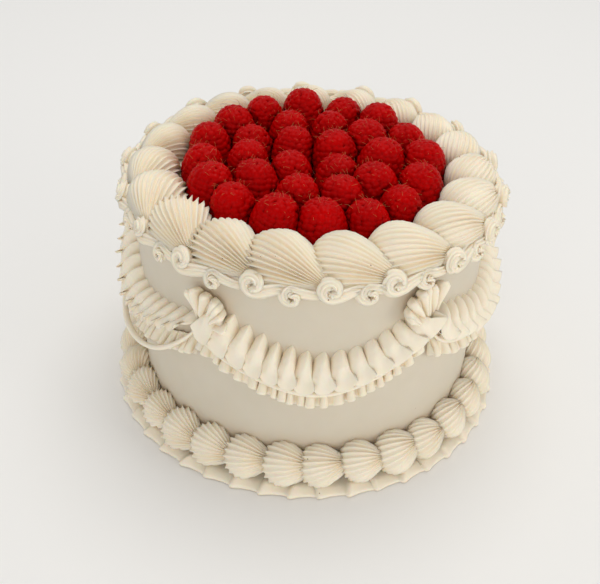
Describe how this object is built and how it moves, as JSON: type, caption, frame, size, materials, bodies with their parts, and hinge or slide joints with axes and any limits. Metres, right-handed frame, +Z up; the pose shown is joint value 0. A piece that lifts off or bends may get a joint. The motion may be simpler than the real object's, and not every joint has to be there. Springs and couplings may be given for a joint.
{
  "type": "piped buttercream cake",
  "caption": "Tall round cake iced smooth in ivory buttercream, piped with shell borders, scrolls and swags, its top filled with whole raspberries.",
  "frame": {"origin": "middle of the cake's flat underside, on the surface that it stands on", "axes": "+Z up along the cake's axis, -Y towards the front as pictured, +X to the right"},
  "size_m": [0.2, 0.2, 0.1341],
  "materials": {
    "smooth_buttercream": "ivory buttercream scraped smooth, satin",
    "piped_buttercream": "ivory buttercream piped through star and petal tips, satin",
    "raspberry": "ripe raspberry skin, soft gloss with fine hairs"
  },
  "bodies": {
    "root": {"cake_body": "smooth_buttercream", "top_shell_border": "piped_buttercream", "scroll_border": "piped_buttercream", "garland_1": "piped_buttercream", "string_1": "piped_buttercream", "ruffle_1": "piped_buttercream", "fan_1": "piped_buttercream", "garland_2": "piped_buttercream", "string_2": "piped_buttercream", "ruffle_2": "piped_buttercream", "fan_2": "piped_buttercream", "garland_3": "piped_buttercream", "string_3": "piped_buttercream", "ruffle_3": "piped_buttercream", "fan_3": "piped_buttercream", "garland_4": "piped_buttercream", "string_4": "piped_buttercream", "ruffle_4": "piped_buttercream", "fan_4": "piped_buttercream", "garland_5": "piped_buttercream", "string_5": "piped_buttercream", "ruffle_5": "piped_buttercream", "fan_5": "piped_buttercream", "base_shell_border": "piped_buttercream", "base_ribbon": "piped_buttercream", "raspberry_01": "raspberry", "raspberry_02": "raspberry", "raspberry_03": "raspberry", "raspberry_04": "raspberry", "raspberry_05": "raspberry", "raspberry_06": "raspberry", "raspberry_07": "raspberry", "raspberry_08": "raspberry", "raspberry_09": "raspberry", "raspberry_10": "raspberry", "raspberry_11": "raspberry", "raspberry_12": "raspberry", "raspberry_13": "raspberry", "raspberry_14": "raspberry", "raspberry_15": "raspberry", "raspberry_16": "raspberry", "raspberry_17": "raspberry", "raspberry_18": "raspberry", "raspberry_19": "raspberry", "raspberry_20": "raspberry", "raspberry_21": "raspberry", "raspberry_22": "raspberry", "raspberry_23": "raspberry", "raspberry_24": "raspberry", "raspberry_25": "raspberry", "raspberry_26": "raspberry", "raspberry_27": "raspberry", "raspberry_28": "raspberry", "raspberry_29": "raspberry", "raspberry_30": "raspberry"}
  },
  "joints": []
}
